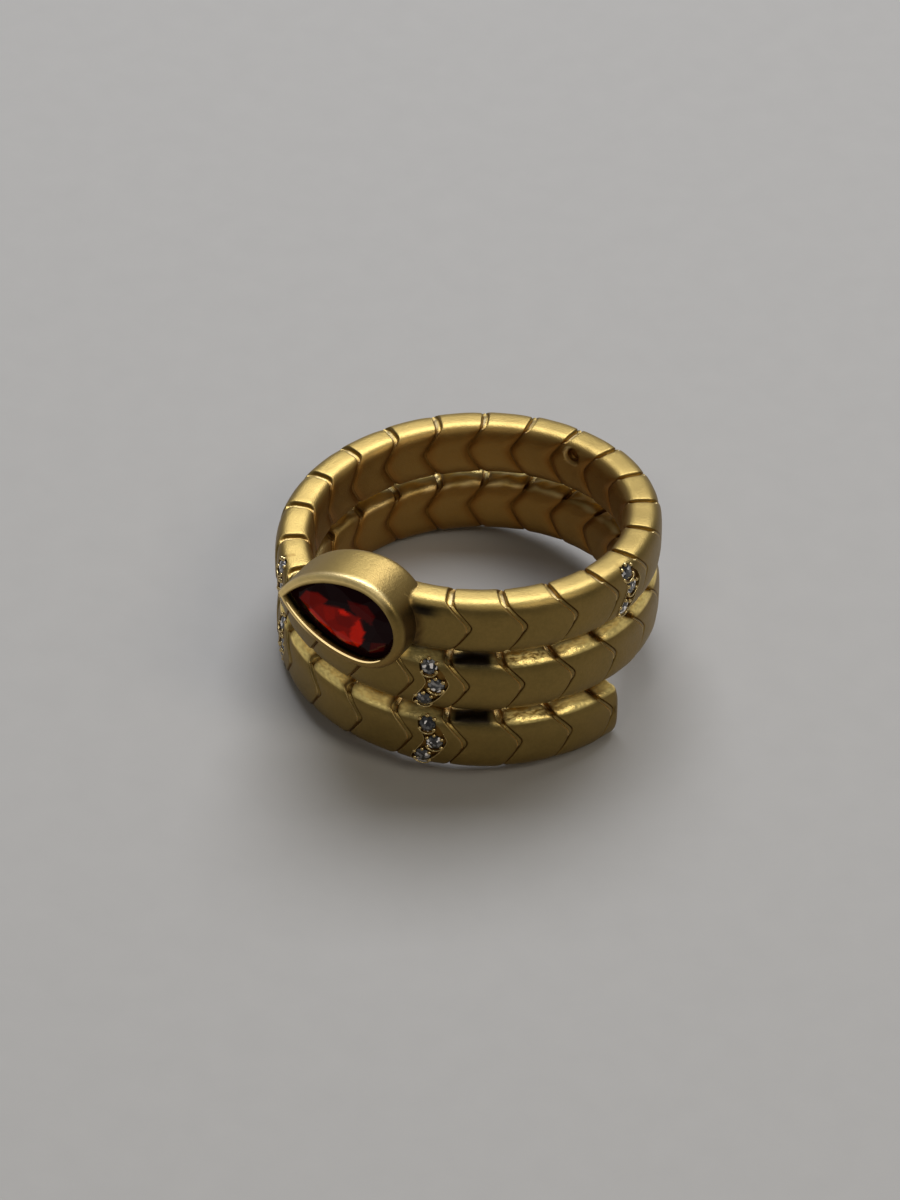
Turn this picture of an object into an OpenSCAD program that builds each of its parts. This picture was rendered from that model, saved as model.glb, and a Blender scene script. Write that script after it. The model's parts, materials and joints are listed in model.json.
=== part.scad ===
// Snake wrap ring: one cast band that winds round the finger a little over twice.
// A bezel head holds a pear-cut stone, and five of the scales are set with three small stones each.
// The ring lies on its side, as it rests by itself, so its own axis leans a little from +Z.
// The origin is where the axis of the finger hole meets the surface that the ring rests on.

/* [Band] */
// Inside diameter of the finger hole
finger_d = 17; // [16:0.1:19]
// Thickness of the band, from the inside of the ring to the outside
band_t = 2.14; // [1.9:0.02:2.6]
// Height of one row of the band, along the ring's axis
row_h = 3.34; // [3:0.02:3.8]
// Open gap between one row and the next
row_gap = 0.59; // [0.4:0.01:1]
// How square the band's section is, from 2 for an oval to 8 for a box
squareness = 4; // [3:0.25:7]
// Radius of the blunt tail's rounded edge
tail_round = 0.5; // [0.3:0.05:0.7]
// Plain length past the point of the last chevron groove
tail_tip = 0.8; // [0.75:0.05:1.5]

/* [Scales] */
// Arc that one scale takes, in degrees round the ring
scale_arc = 16.34; // [15.8:0.01:16.6]
// Number of chevron grooves between the scales
groove_count = 48; // [46:1:50]
// Angle of the first groove, where 0 is the ring's front
first_groove = -5.65; // [-7:0.05:-4]
// How far the point of a chevron reaches towards the tail
point_len = 1.08; // [0.7:0.02:1.3]
// Height of the points above the middle of the row
point_rise = 0.2; // [0:0.02:0.5]
// Width of a groove where it crosses the sides of the band
notch_w = 0.42; // [0.3:0.02:0.5]
// Depth of a groove where it crosses the sides of the band
notch_d = 0.32; // [0.15:0.01:0.4]
// Width of a groove on the outer and inner faces
line_w = 0.2; // [0.12:0.02:0.3]
// Depth of a groove on the outer and inner faces
line_d = 0.11; // [0.06:0.01:0.2]

/* [Head] */
// Angle of the head round the ring, where 0 is the ring's front
head_angle = -30.5; // [-33:0.5:-29]
// Height of the head's middle over the middle of the row
head_lift = -0.23; // [-0.4:0.01:0.4]
// Dip of the head's long axis towards the band, in degrees
head_dip = 1.5; // [0:0.5:3]
// How far the bezel's rim stands out from the band
head_rise = 1.13; // [1.1:0.01:1.4]
// How far the head's flat back stays out from the finger hole
head_back = 0.26; // [0.1:0.02:0.6]
// Thickness of the bezel's wall round the stone's girdle
bezel_wall = 0.4; // [0.3:0.01:0.6]
// How far the rim's lip covers the stone's girdle
lip_cover = 0.22; // [0.1:0.01:0.3]
// Width of the sloped inner edge of the rim
lip_bevel = 0.1; // [0.05:0.01:0.2]
// Radius of the head's rounded edges
head_round = 0.35; // [0.2:0.05:0.4]
// Clearance between the head and the row that passes under it
head_gap = 0.12; // [0.08:0.01:0.3]

/* [Stones] */
// Length of the pear-cut stone
pear_len = 6.95; // [6.4:0.05:7.4]
// Width of the pear-cut stone
pear_w = 4.9; // [4.4:0.05:5.2]
// Depth of the pear stone's girdle under the rim
girdle_depth = 0.6; // [0.55:0.01:0.7]
// Diameter of a small round stone
small_d = 0.9; // [0.7:0.02:1]
// Depth of a small stone's girdle under the scale's surface
small_sink = 0.12; // [0.1:0.01:0.2]
// Width of the sunk field round each small stone
field_w = 0.12; // [0.05:0.01:0.2]
// Depth of that sunk field
field_d = 0.08; // [0.04:0.01:0.12]
// Clearance round each stone in its seat
stone_gap = 0.03; // [0.02:0.005:0.05]

/* [Finger-side pit] */
// Diameter of the small round pit in the inner face
pit_d = 0.8; // [0.5:0.05:1]
// Depth of the pit
pit_depth = 0.35; // [0.2:0.05:0.5]
// Angle of the pit round the ring
pit_angle = 137; // [133:0.5:140]
// Height of the pit above the middle of the row
pit_rise = 0.95; // [0.6:0.05:1.1]

/* [Hidden] */
pitch = row_h + row_gap;
half_t = band_t / 2;
half_h = row_h / 2;
inner_r = finger_d / 2;
middle_r = inner_r + half_t;
outer_r = inner_r + band_t;

// The scales that are set with stones, counted from the head
SET_SCALES = [4, 18, 22, 40, 44];
// Small stones of one set scale: share of the way along the scale, height as a share of half the row
SEAT_ALONG = 0;
SEAT_HEIGHT = 1;
SCALE_SEATS = [[0.56, 0.74], [0.46, 0.03], [0.44, -0.6]];
SMALL_COUNT = len(SET_SCALES) * len(SCALE_SEATS);

// The band's plain start inside the head: how far before and after the head's middle it runs, in degrees
LEAD_IN = 8;
LEAD_OUT = 10;

// Angles for lengths along the outer face and along the band's middle
point_lean = point_len / outer_r * 180 / PI;
tail_end = first_groove + (groove_count - 1) * scale_arc + point_lean + tail_tip / outer_r * 180 / PI;
tail_round_arc = tail_round / middle_r * 180 / PI;
band_start = head_angle - LEAD_IN;

// Shares of half the row's height at which the faces have points, and of half the thickness on the sides
FACE_LEVELS = [-0.96, -0.83, -0.5, -0.12, point_rise / half_h, 0.38, 0.74, 0.95];
SIDE_LEVELS = [0.36, -0.36];

// Height of the band's middle line at an angle along the coil, which falls one pitch each turn
function coil_z(angle) = -pitch * angle / 360;

// Half the section's thickness or height at a share of the other, for an oval made square
function rounded(share) = pow(1 - pow(abs(share), squareness), 1 / squareness);

// The section as shares: outwards first, then upwards, in order round it
SECTION = concat(
    [for (s = FACE_LEVELS) [rounded(s), s]],
    [for (s = SIDE_LEVELS) [s, rounded(s)]],
    [for (k = [len(FACE_LEVELS) - 1:-1:0]) [-rounded(FACE_LEVELS[k]), FACE_LEVELS[k]]],
    [for (k = [len(SIDE_LEVELS) - 1:-1:0]) [SIDE_LEVELS[k], -rounded(SIDE_LEVELS[k])]]
);

// How much of the full lean a groove has at a height share: none at the sides, all at the point
POINT_SHARE = point_rise / half_h;
LAST_LEVEL = 0.97;
POINT_SOFTNESS = 0.18;
function reach(share) =
    let (t = min(1, abs(share - POINT_SHARE) / (LAST_LEVEL - sign(share - POINT_SHARE) * POINT_SHARE)))
    1 - (sqrt(t * t + POINT_SOFTNESS * POINT_SOFTNESS) - POINT_SOFTNESS) /
        (sqrt(1 + POINT_SOFTNESS * POINT_SOFTNESS) - POINT_SOFTNESS);

// How much of a section point belongs to the sides of the band, and not to its faces
SIDE_POWER = 4;
function side_share(point) = pow(abs(point[1]), SIDE_POWER);

// One ring of the band: its angle, its share of the lean, its lip, its groove and its rounding
RING_ANGLE = 0;
RING_LEAN = 1;
RING_LIP = 2;
RING_SINK = 3;
RING_CUT = 4;

function groove_angle(k) = first_groove + (k - 1) * scale_arc;

TAIL_STEPS = 3;
RINGS = concat(
    [[band_start, 0, 0, 0, 0], [head_angle + LEAD_OUT, 0, 0, 0, 0]],
    [for (k = [1:groove_count]) for (ring = [
        [groove_angle(k), 1, -1, 0, 0],
        [groove_angle(k), 1, 0, 1, 0],
        [groove_angle(k), 1, 1, 0, 0],
        [groove_angle(k) + scale_arc / 2, 1, 0, 0, 0]
    ]) if (k < groove_count || ring[RING_LIP] != 0 || ring[RING_SINK] != 0) ring],
    [for (q = [0:TAIL_STEPS]) let (a = 90 * q / TAIL_STEPS) [
        tail_end - tail_round_arc * (1 - sin(a)), 0, 0, 0, tail_round * (1 - cos(a))
    ]]
);

// The place in space of one section point on one ring
function band_point(ring, p) =
    let (
        side = side_share(p),
        sink = ring[RING_SINK],
        t = half_t - ring[RING_CUT] - sink * line_d * (1 - side),
        h = half_h - ring[RING_CUT] - sink * (line_d + (notch_d - line_d) * side),
        lip = ring[RING_LIP] * (line_w + (notch_w - line_w) * side) / 2 / middle_r * 180 / PI,
        angle = ring[RING_ANGLE] + ring[RING_LEAN] * point_lean * reach(p[1]) + lip,
        r = middle_r + t * p[0]
    )
    [r * sin(angle), -r * cos(angle), coil_z(angle) + h * p[1]];

// A solid whose skin runs through rows of points, each row a closed outline of the same count
module loft(rows) {
    n = len(rows[0]);
    last = len(rows) - 1;
    points = [for (row = rows) each row];
    skin = [for (i = [0:last - 1]) for (j = [0:n - 1]) let (
        a = i * n + j,
        b = i * n + (j + 1) % n
    ) each [[a, b, a + n], [b, b + n, a + n]]];
    caps = [[for (j = [n - 1:-1:0]) j], [for (j = [0:n - 1]) last * n + j]];
    polyhedron(points, concat(skin, caps), convexity = 12);
}

module coil() {
    loft([for (ring = RINGS) [for (p = SECTION) band_point(ring, p)]]);
}

// A pear outline: a half circle, two longer arcs and a tip, all moved out by an offset. With equal
// radius and tail it is a full circle.
function pear_outline(r, tail, offset, n) =
    let (
        side_r = (tail * tail + r * r) / (2 * r),
        centre = side_r - r,
        out_r = side_r + offset,
        sweep = acos(centre / out_r)
    )
    concat(
        [for (k = [0:n - 1]) let (a = 180 * k / n - 90) (r + offset) * [cos(a), sin(a)]],
        [for (k = [0:n / 2 - 1]) let (a = 2 * sweep * k / n)
            [-out_r * sin(a), out_r * cos(a) - centre]],
        [for (k = [n / 2:-1:1]) let (a = 2 * sweep * k / n)
            [-out_r * sin(a), centre - out_r * cos(a)]]
    );

// A solid through pear outlines, as rows of offset and height from the top down
OFFSET = 0;
LEVEL = 1;
module pear_solid(r, tail, rows, n) {
    loft([for (row = rows) [for (p = pear_outline(r, tail, row[OFFSET], n)) [p[0], p[1], row[LEVEL]]]]);
}

// Proportions of every cut stone, as shares of its width
CROWN_SHARE = 0.1;
GIRDLE_SHARE = 0.02;
PAVILION_SHARE = 0.26;
// Facet corners as shares of the half width, counted in from the girdle
TABLE_INSET = 0.5;
STAR_INSET = 0.25;
LOWER_INSET = 0.78;
// Heights of the corners between table and girdle, and between girdle and culet, as shares
STAR_HEIGHT = 0.66;
LOWER_DEPTH = 0.84;
STONE_SIDES = 8;

// A brilliant-cut stone with its table up and its girdle's top at height 0
module cut_stone(r, tail) {
    n = 2 * STONE_SIDES;
    girdle = pear_outline(r, tail, 0, STONE_SIDES);
    inner = pear_outline(r, tail, -TABLE_INSET * r, STONE_SIDES);
    star = pear_outline(r, tail, -STAR_INSET * r, STONE_SIDES);
    lower = pear_outline(r, tail, -LOWER_INSET * r, STONE_SIDES);
    crown_h = 2 * r * CROWN_SHARE;
    girdle_h = 2 * r * GIRDLE_SHARE;
    pavilion_h = 2 * r * PAVILION_SHARE;
    points = concat(
        [for (k = [0:STONE_SIDES - 1]) [inner[2 * k][0], inner[2 * k][1], crown_h]],
        [for (k = [0:STONE_SIDES - 1]) [star[2 * k + 1][0], star[2 * k + 1][1], crown_h * STAR_HEIGHT]],
        [for (p = girdle) [p[0], p[1], 0]],
        [for (p = girdle) [p[0], p[1], -girdle_h]],
        [for (k = [0:STONE_SIDES - 1])
            [lower[2 * k + 1][0], lower[2 * k + 1][1], -girdle_h - pavilion_h * LOWER_DEPTH]],
        [[0, 0, -girdle_h - pavilion_h]]
    );
    star_at = STONE_SIDES;
    top_at = 2 * STONE_SIDES;
    bottom_at = top_at + n;
    lower_at = bottom_at + n;
    culet = lower_at + STONE_SIDES;
    facets = [for (k = [0:STONE_SIDES - 1]) let (
        next = (k + 1) % STONE_SIDES,
        g = 2 * k,
        g1 = 2 * k + 1,
        g2 = (2 * k + 2) % n
    ) each [
        [k, next, star_at + k],
        [k, star_at + k, top_at + g],
        [next, top_at + g2, star_at + k],
        [star_at + k, top_at + g1, top_at + g],
        [star_at + k, top_at + g2, top_at + g1],
        [top_at + g, bottom_at + g1, bottom_at + g],
        [top_at + g, top_at + g1, bottom_at + g1],
        [top_at + g1, bottom_at + g2, bottom_at + g1],
        [top_at + g1, top_at + g2, bottom_at + g2],
        [bottom_at + g, bottom_at + g1, lower_at + k],
        [bottom_at + g1, bottom_at + g2, lower_at + k],
        [bottom_at + g, lower_at + k, culet],
        [bottom_at + g2, culet, lower_at + k]
    ]];
    polyhedron(points, concat(facets, [[for (k = [STONE_SIDES - 1:-1:0]) k]]), convexity = 3);
}

// The head: its own flat frame has the pear's length along X and the way out of the ring along Z
HEAD_SIDES = 16;
pear_r = pear_w / 2;
pear_tail = pear_len - pear_r;
rim_r = outer_r + head_rise;
head_depth = rim_r - inner_r - head_back;

module at_head() {
    translate([0, 0, coil_z(head_angle) + head_lift])
        rotate([0, 0, head_angle])
            rotate([90, 0, 0])
                translate([0, 0, rim_r])
                    rotate([0, 0, -head_dip])
                        children();
}

// The head's block, with rounded edges, before the row below and the stone's seat are cut from it
module head_block() {
    wall = bezel_wall;
    soft = head_round * (1 - cos(45));
    at_head() pear_solid(pear_r, pear_tail, [
        [wall - head_round, 0],
        [wall - soft, -soft],
        [wall, -head_round],
        [wall, -head_depth + head_round],
        [wall - soft, -head_depth + soft],
        [wall - head_round, -head_depth]
    ], HEAD_SIDES);
}

// Room for the row that passes under the head: a plain length of that row, grown by the clearance,
// a margin longer than the head and carried on into the finger hole
ROOM_STEPS = 6;
ROOM_MARGIN = 8;
ROOM_INWARD = 2;
function room_point(angle, p) =
    let (r = middle_r + (half_t + head_gap) * (p[0] < 0 ? ROOM_INWARD * p[0] : p[0]))
    [r * sin(angle), -r * cos(angle), coil_z(angle) + (half_h + head_gap) * p[1]];

module room_below_head() {
    half_arc = asin((pear_tail + bezel_wall) / rim_r) + ROOM_MARGIN;
    from = head_angle + 360 - half_arc;
    step = 2 * half_arc / ROOM_STEPS;
    loft([for (i = [0:ROOM_STEPS]) [for (p = SECTION) room_point(from + i * step, p)]]);
}

// How far a cut starts outside the surface that it opens, and the sides of a round hole
CUT_PAST = 0.5;
HOLE_SIDES = 24;

// The seat of the pear stone: sloped rim, lip, girdle groove and a pit that follows the pavilion
// down to a small flat floor
PIT_INSET = 0.85;
module pear_seat() {
    crown_slope = 2 * CROWN_SHARE * STAR_HEIGHT / STAR_INSET;
    lip_depth = girdle_depth - lip_cover * crown_slope - 2 * stone_gap;
    girdle_low = girdle_depth + GIRDLE_SHARE * pear_w + stone_gap;
    pavilion_h = PAVILION_SHARE * pear_w;
    at_head() pear_solid(pear_r, pear_tail, [
        [lip_bevel - lip_cover, CUT_PAST],
        [lip_bevel - lip_cover, -lip_bevel],
        [-lip_cover, -2 * lip_bevel],
        [-lip_cover, -lip_depth],
        [stone_gap, -girdle_depth + stone_gap],
        [stone_gap, -girdle_low],
        [-PIT_INSET * pear_r, -girdle_low - pavilion_h - stone_gap]
    ], HEAD_SIDES);
}

// A small stone's place: on the outer face of its scale, with its table along the face's slope
function small_scale(i) = SET_SCALES[floor(i / len(SCALE_SEATS))];
function small_seat(i) = SCALE_SEATS[i % len(SCALE_SEATS)];

module at_small(i) {
    seat = small_seat(i);
    share = seat[SEAT_HEIGHT];
    angle = groove_angle(small_scale(i)) + seat[SEAT_ALONG] * scale_arc + point_lean * reach(share);
    out = rounded(share);
    slope = atan2(sign(share) * pow(abs(share), squareness - 1) / half_h, pow(out, squareness - 1) / half_t);
    translate([0, 0, coil_z(angle)])
        rotate([0, 0, angle])
            translate([0, -middle_r - half_t * out, half_h * share])
                rotate([90 - slope, 0, 0])
                    children();
}

module small_hole(i) {
    depth = small_sink + (GIRDLE_SHARE + PAVILION_SHARE) * small_d + stone_gap;
    at_small(i) {
        translate([0, 0, -depth])
            cylinder(d = small_d + 2 * stone_gap, h = depth + CUT_PAST, $fn = HOLE_SIDES);
        translate([0, 0, -field_d])
            cylinder(d = small_d + 2 * field_w, h = field_d + CUT_PAST, $fn = HOLE_SIDES);
    }
}

module finger_pit() {
    translate([0, 0, coil_z(pit_angle) + pit_rise])
        rotate([0, 0, pit_angle])
            rotate([90, 0, 0])
                translate([0, 0, inner_r - CUT_PAST])
                    cylinder(d = pit_d, h = CUT_PAST + pit_depth, $fn = HOLE_SIDES);
}

// How the ring rests: the tail and a point half a turn back along the coil touch the surface. In
// the ring's own frame that surface is a leaned plane. It rises by REST_COS and REST_SIN, which are
// counted back from the tail, and it is level with the coil's underside where the two touch.
REST_COS = -pitch / 4;
REST_SIN = -pitch / (2 * PI);
rest_from = tail_end - tail_round_arc;
rest_high = rest_from - atan2(REST_SIN, REST_COS);
rest_lean = atan(norm([REST_COS, REST_SIN]) / middle_r);
rest_axis = [cos(rest_high), sin(rest_high), 0];
rest_level = coil_z(rest_from) - half_h - REST_COS;

// Height over the surface of a point of the band, and the lowest such height
function rest_height(q) =
    (rest_axis[0] * q[1] - rest_axis[1] * q[0]) * sin(rest_lean) + (q[2] - rest_level) * cos(rest_lean);
rest_lowest = min([for (ring = RINGS) for (p = SECTION) rest_height(band_point(ring, p))]);

module at_rest() {
    rotate(a = rest_lean, v = rest_axis)
        translate([0, 0, -rest_level - rest_lowest / cos(rest_lean)])
            children();
}

module snake_band() {
    color("goldenrod") at_rest() difference() {
        union() {
            coil();
            difference() {
                head_block();
                room_below_head();
            }
        }
        pear_seat();
        for (i = [0:SMALL_COUNT - 1]) small_hole(i);
        finger_pit();
    }
}

module pear_stone() {
    color("darkred") at_rest() at_head() translate([0, 0, -girdle_depth]) cut_stone(pear_r, pear_tail);
}

module small_stone(i) {
    color("white") at_rest() at_small(i) translate([0, 0, -small_sink]) cut_stone(small_d / 2, small_d / 2);
}

snake_band();
pear_stone();
for (i = [0:SMALL_COUNT - 1]) small_stone(i);
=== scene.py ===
"""Dresses the snake wrap ring: satin gold scales, a head with a red pear-cut stone, and small clear stones.

Sizes are in millimetres in the ring's own frame: its axis is Z, angles are counted on along the coil from
the ring's front at -Y, and the band's middle line falls one pitch each turn. One matrix lays all of it down
on its side in the row frame, in metres.
"""

import json
import math

import bmesh
import bpy
import numpy as np
from bpy.props import FloatProperty, FloatVectorProperty, PointerProperty
from bpy.types import Operator, Panel, PropertyGroup
from mathutils import Matrix, Vector


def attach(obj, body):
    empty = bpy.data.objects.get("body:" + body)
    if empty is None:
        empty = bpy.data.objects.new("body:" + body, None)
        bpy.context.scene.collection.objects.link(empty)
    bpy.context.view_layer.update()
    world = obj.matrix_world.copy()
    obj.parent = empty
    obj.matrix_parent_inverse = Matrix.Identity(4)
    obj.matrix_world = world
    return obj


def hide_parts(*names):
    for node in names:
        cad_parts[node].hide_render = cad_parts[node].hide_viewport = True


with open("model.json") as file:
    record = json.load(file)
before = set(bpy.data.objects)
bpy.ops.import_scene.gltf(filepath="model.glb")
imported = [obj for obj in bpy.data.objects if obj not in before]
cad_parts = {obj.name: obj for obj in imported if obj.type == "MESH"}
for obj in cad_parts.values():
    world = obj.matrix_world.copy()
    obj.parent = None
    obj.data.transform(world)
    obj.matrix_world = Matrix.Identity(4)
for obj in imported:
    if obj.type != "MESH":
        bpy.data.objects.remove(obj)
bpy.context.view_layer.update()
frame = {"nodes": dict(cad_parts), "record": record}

bl_info = {
    "name": "Snake Wrap Ring",
    "version": (1, 0, 0),
    "blender": (4, 5, 0),
    "location": "View3D > Sidebar > Ring",
    "description": "Builds the ring's band, head, stones and stage piece by piece",
    "category": "Object",
}

MM = 0.001

# The ring's own sizes, as in the part: the finger hole, the band's section and the gap between rows
FINGER_R = 8.5
BAND_T = 2.14
ROW_H = 3.34
ROW_GAP = 0.59
SQUARENESS = 4.0
# The tail's rounding, and how far it runs on past the last chevron's point
TAIL_ROUND = 0.5
TAIL_TIP = 0.8
# The scales: degrees of coil to each, their count, the first groove's angle, and the chevron's point
SCALE_ARC = 16.34
GROOVES = 48
FIRST_GROOVE = -5.65
POINT_LEN = 1.08
POINT_RISE = 0.2
# Height of the coil's start above the floor, along its own axis
REST_LEVEL = 9.12

PITCH = ROW_H + ROW_GAP
HALF_T = BAND_T / 2
HALF_H = ROW_H / 2
MIDDLE_R = FINGER_R + HALF_T
OUTER_R = FINGER_R + BAND_T
POINT_LEAN = math.degrees(POINT_LEN / OUTER_R)

# The head: its place on the coil, its tilt, how far it stands out of the band, its back and clearance
HEAD_ANGLE = -30.5
HEAD_LIFT = -0.23
HEAD_DIP = 1.5
HEAD_RISE = 1.13
HEAD_BACK = 0.26
HEAD_GAP = 0.12
# The bezel's wall, its lip over the stone, and the roundings of its rim and its back
BEZEL_WALL = 0.4
LIP_COVER = 0.15
LIP_BEVEL = 0.06
RIM_ROUND = 0.34
BACK_ROUND = 0.45
# The pear stone: its round end, its length to the tip, and its girdle below the rim
PEAR_R = 2.45
PEAR_TAIL = 4.5
GIRDLE_DEPTH = 0.6
OPENING_TAIL = PEAR_TAIL + 0.16
RIM_R = OUTER_R + HEAD_RISE
HEAD_DEPTH = RIM_R - FINGER_R - HEAD_BACK
BAND_START = HEAD_ANGLE - 8
TAIL_END = FIRST_GROOVE + (GROOVES - 1) * SCALE_ARC + POINT_LEAN + math.degrees(TAIL_TIP / OUTER_R)

# The small stones: the scales that hold them, and their places on a scale as a share of its length
# and a share of half the row's height
SET_SCALES = (4, 18, 22, 40, 44)
SCALE_SEATS = ((0.56, 0.74), (0.46, 0.03), (0.44, -0.6))
SMALL_R = 0.45

# The pit in the inner face
PIT_ANGLE = 137.0
PIT_RISE = 0.95

# Cutters of the stones' holes and of the pit, as rows of radius and height from the top down
HOLE_PROFILE = (
    (SMALL_R + 0.05, 0.25),
    (SMALL_R + 0.04, -0.1),
    (SMALL_R + 0.025, -0.15),
    (SMALL_R + 0.025, -0.42),
)
PIT_PROFILE = ((0.3, 0.42), (0.38, 0.34), (0.4, 0.16), (0.6, 0.0), (0.64, -0.08), (0.64, -1.0))
CUTTER_SIDES = 32

# Points on the round end of a pear outline, which has half as many on each side
PEAR_POINTS = 64

# Edges steeper than this, in degrees, stay sharp
SHARP_ANGLE = 42

# Cuts along each edge of the red stone's facets, so that its painted fire, the light of its inner facets, can
# be written on the vertices
FIRE_CUTS = 15


def smooth(low, high, x):
    """0 below low, 1 above high, and a soft step between them."""
    t = np.clip((x - low) / (high - low), 0.0, 1.0)
    return t * t * (3 - 2 * t)


def coil_z(angle):
    """Height of the band's middle line at an angle along the coil."""
    return -PITCH * angle / 360


def from_front(angle):
    """Angle from the ring's front, between -180 and 180."""
    return (angle + 180) % 360 - 180


def under_row(angle):
    """0 along the first turn, and 1 where another row lies above the band."""
    return smooth(325, 345, angle)


def over_row(angle):
    """1 where another row lies below the band, and 0 along the last turn."""
    return 1 - smooth(400, 412, angle)


def groove_angle(k):
    """Angle of a groove where it crosses the sides of the band, counted from 1 at the head."""
    return FIRST_GROOVE + (k - 1) * SCALE_ARC


def reach(share):
    """Share of a chevron's full lean at a height share: none at the sides, all at the point."""
    apex, last, soft = POINT_RISE / HALF_H, 0.97, 0.18
    side = np.sign(share - apex)
    t = np.minimum(1, np.abs(share - apex) / (last - side * apex))
    return 1 - (np.sqrt(t * t + soft * soft) - soft) / (math.sqrt(1 + soft * soft) - soft)


def outer_face(share):
    """Share outwards of the CAD section's outer face at a height share."""
    return (1 - np.abs(share) ** SQUARENESS) ** (1 / SQUARENESS)


def lay_down():
    """Matrix from the ring's own frame in millimetres to the row frame in metres."""
    axis = Vector(frame["record"]["mounts"][0]["axis"])
    lean = Vector((0, 0, 1)).rotation_difference(axis).to_matrix().to_4x4()
    return Matrix.Scale(MM, 4) @ lean @ Matrix.Translation((0, 0, REST_LEVEL))


def turned(degrees, axis):
    """Matrix of a turn about one axis."""
    return Matrix.Rotation(math.radians(degrees), 4, axis)


def moved(points, place):
    """Points carried along by a matrix."""
    return (np.c_[points, np.ones(len(points))] @ np.array(place).T)[:, :3]


def at_head():
    """The head's flat frame: the pear's length along X, the way out of the ring along Z."""
    return (
        Matrix.Translation((0, 0, coil_z(HEAD_ANGLE) + HEAD_LIFT))
        @ turned(HEAD_ANGLE, "Z")
        @ turned(90, "X")
        @ Matrix.Translation((0, 0, RIM_R))
        @ turned(-HEAD_DIP, "Z")
    )


def at_small(scale, along, share):
    """The frame of a small stone: on the outer face of its scale, with Z along the face's slope."""
    angle = groove_angle(scale) + along * SCALE_ARC + POINT_LEAN * float(reach(np.float64(share)))
    out = float(outer_face(share))
    rise = math.copysign(abs(share) ** (SQUARENESS - 1), share) / HALF_H
    slope = math.degrees(math.atan2(rise, out ** (SQUARENESS - 1) / HALF_T))
    return (
        Matrix.Translation((0, 0, coil_z(angle)))
        @ turned(angle, "Z")
        @ Matrix.Translation((0, -MIDDLE_R - HALF_T * out, HALF_H * share))
        @ turned(90 - slope, "X")
    )


def loft(rows, name):
    """A closed mesh through rows of points, each row an outline of the same count."""
    rows = np.asarray(rows, float)
    last, n = rows.shape[0] - 1, rows.shape[1]
    i, j = np.meshgrid(np.arange(last), np.arange(n), indexing="ij")
    a, b = i * n + j, i * n + (j + 1) % n
    quads = np.stack([a, a + n, b + n, b], -1).reshape(-1, 4).tolist()
    caps = [list(range(n)), list(range(last * n + n - 1, last * n - 1, -1))]
    mesh = bpy.data.meshes.new(name)
    mesh.from_pydata(rows.reshape(-1, 3).tolist(), [], quads + caps)
    mesh.validate()
    return mesh


def new_object(name, mesh):
    """An object of that mesh in the scene."""
    obj = bpy.data.objects.new(name, mesh)
    bpy.context.scene.collection.objects.link(obj)
    return obj


def pear_outline(tail, offset):
    """A half circle, two longer arcs and a tip, all moved out by an offset."""
    r, n = PEAR_R, PEAR_POINTS
    side_r = (tail * tail + r * r) / (2 * r)
    centre = side_r - r
    out_r = side_r + offset
    sweep = math.acos(centre / out_r)
    a = np.pi * np.arange(n) / n - np.pi / 2
    front = (r + offset) * np.stack([np.cos(a), np.sin(a)], -1)
    a = 2 * sweep * np.arange(n // 2) / n
    upper = np.stack([-out_r * np.sin(a), out_r * np.cos(a) - centre], -1)
    a = 2 * sweep * np.arange(n // 2, 0, -1) / n
    lower = np.stack([-out_r * np.sin(a), centre - out_r * np.cos(a)], -1)
    return np.concatenate([front, upper, lower])


def pear_solid(rows, name, tail=PEAR_TAIL):
    """A closed mesh through pear outlines, as rows of offset and height from the top down."""
    outlines = [(pear_outline(tail, offset), level) for offset, level in rows]
    return loft([np.column_stack([o, np.full(len(o), z)]) for o, z in outlines], name)


def lathe(profile, name):
    """A closed mesh round Z through rows of radius and height from the top down."""
    n = CUTTER_SIDES
    a = 2 * np.pi * np.arange(n) / n
    rows = [np.stack([r * np.cos(a), r * np.sin(a), np.full(n, z)], -1) for r, z in profile]
    return loft(rows, name)


def cut(obj, cutter, operation):
    """Applies one boolean step to obj and removes the cutter."""
    step = obj.modifiers.new("step", "BOOLEAN")
    step.operation, step.solver, step.object = operation, "MANIFOLD", cutter
    bpy.context.view_layer.update()
    shaped = bpy.data.meshes.new_from_object(obj.evaluated_get(bpy.context.evaluated_depsgraph_get()))
    obj.modifiers.clear()
    if not shaped.vertices:
        raise RuntimeError(f"the {operation} step on {obj.name} left nothing")
    old, obj.data = obj.data, shaped
    bpy.data.meshes.remove(old)
    bpy.data.objects.remove(cutter)


def ripple(points, seed, count, wave_from, wave_to):
    """A soft random field in space, about -1 to 1, with waves of those lengths in millimetres."""
    rng = np.random.default_rng(seed)
    out = np.zeros(len(points))
    for _ in range(count):
        way = rng.normal(size=3)
        way *= 2 * np.pi / rng.uniform(wave_from, wave_to) / np.linalg.norm(way)
        out += np.sin(points @ way + rng.uniform(0, 2 * np.pi))
    return out / math.sqrt(count) / 1.4


# Band and head

# Points round the section, which is a little rounder than in the part
SECTION_POINTS = 64
VISUAL_SQUARENESS = 3.5

# Rings before the first groove, and round the tail's end
START_RINGS = 21
END_RINGS = 7
# How the rings of one groove lie: a share of the groove's half width, and a distance beyond its edge
PLAIN_REACH = (1.2, 1.02, 0.84, 0.66, 0.5, 0.36, 0.24, 0.15, 0.09, 0.05, 0.022)
GROOVE_RINGS = (
    *((-1.0, -e) for e in PLAIN_REACH),
    *((f, 0.0) for f in (-1.0, -0.78, -0.5, 0.5, 0.78, 1.0)),
    *((1.0, e) for e in PLAIN_REACH[::-1]),
)
# Widths of a groove's line and notch, and depths of the line, the notch and the strip inside it
LINE_W = 0.07
NOTCH_W = 0.3
LINE_D = 0.09
NOTCH_D = 0.25
FLOOR_D = 0.012
# The lap of each scale over the next, and how far back it is felt
LAP = 0.022
LAP_REACH = 0.55
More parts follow.
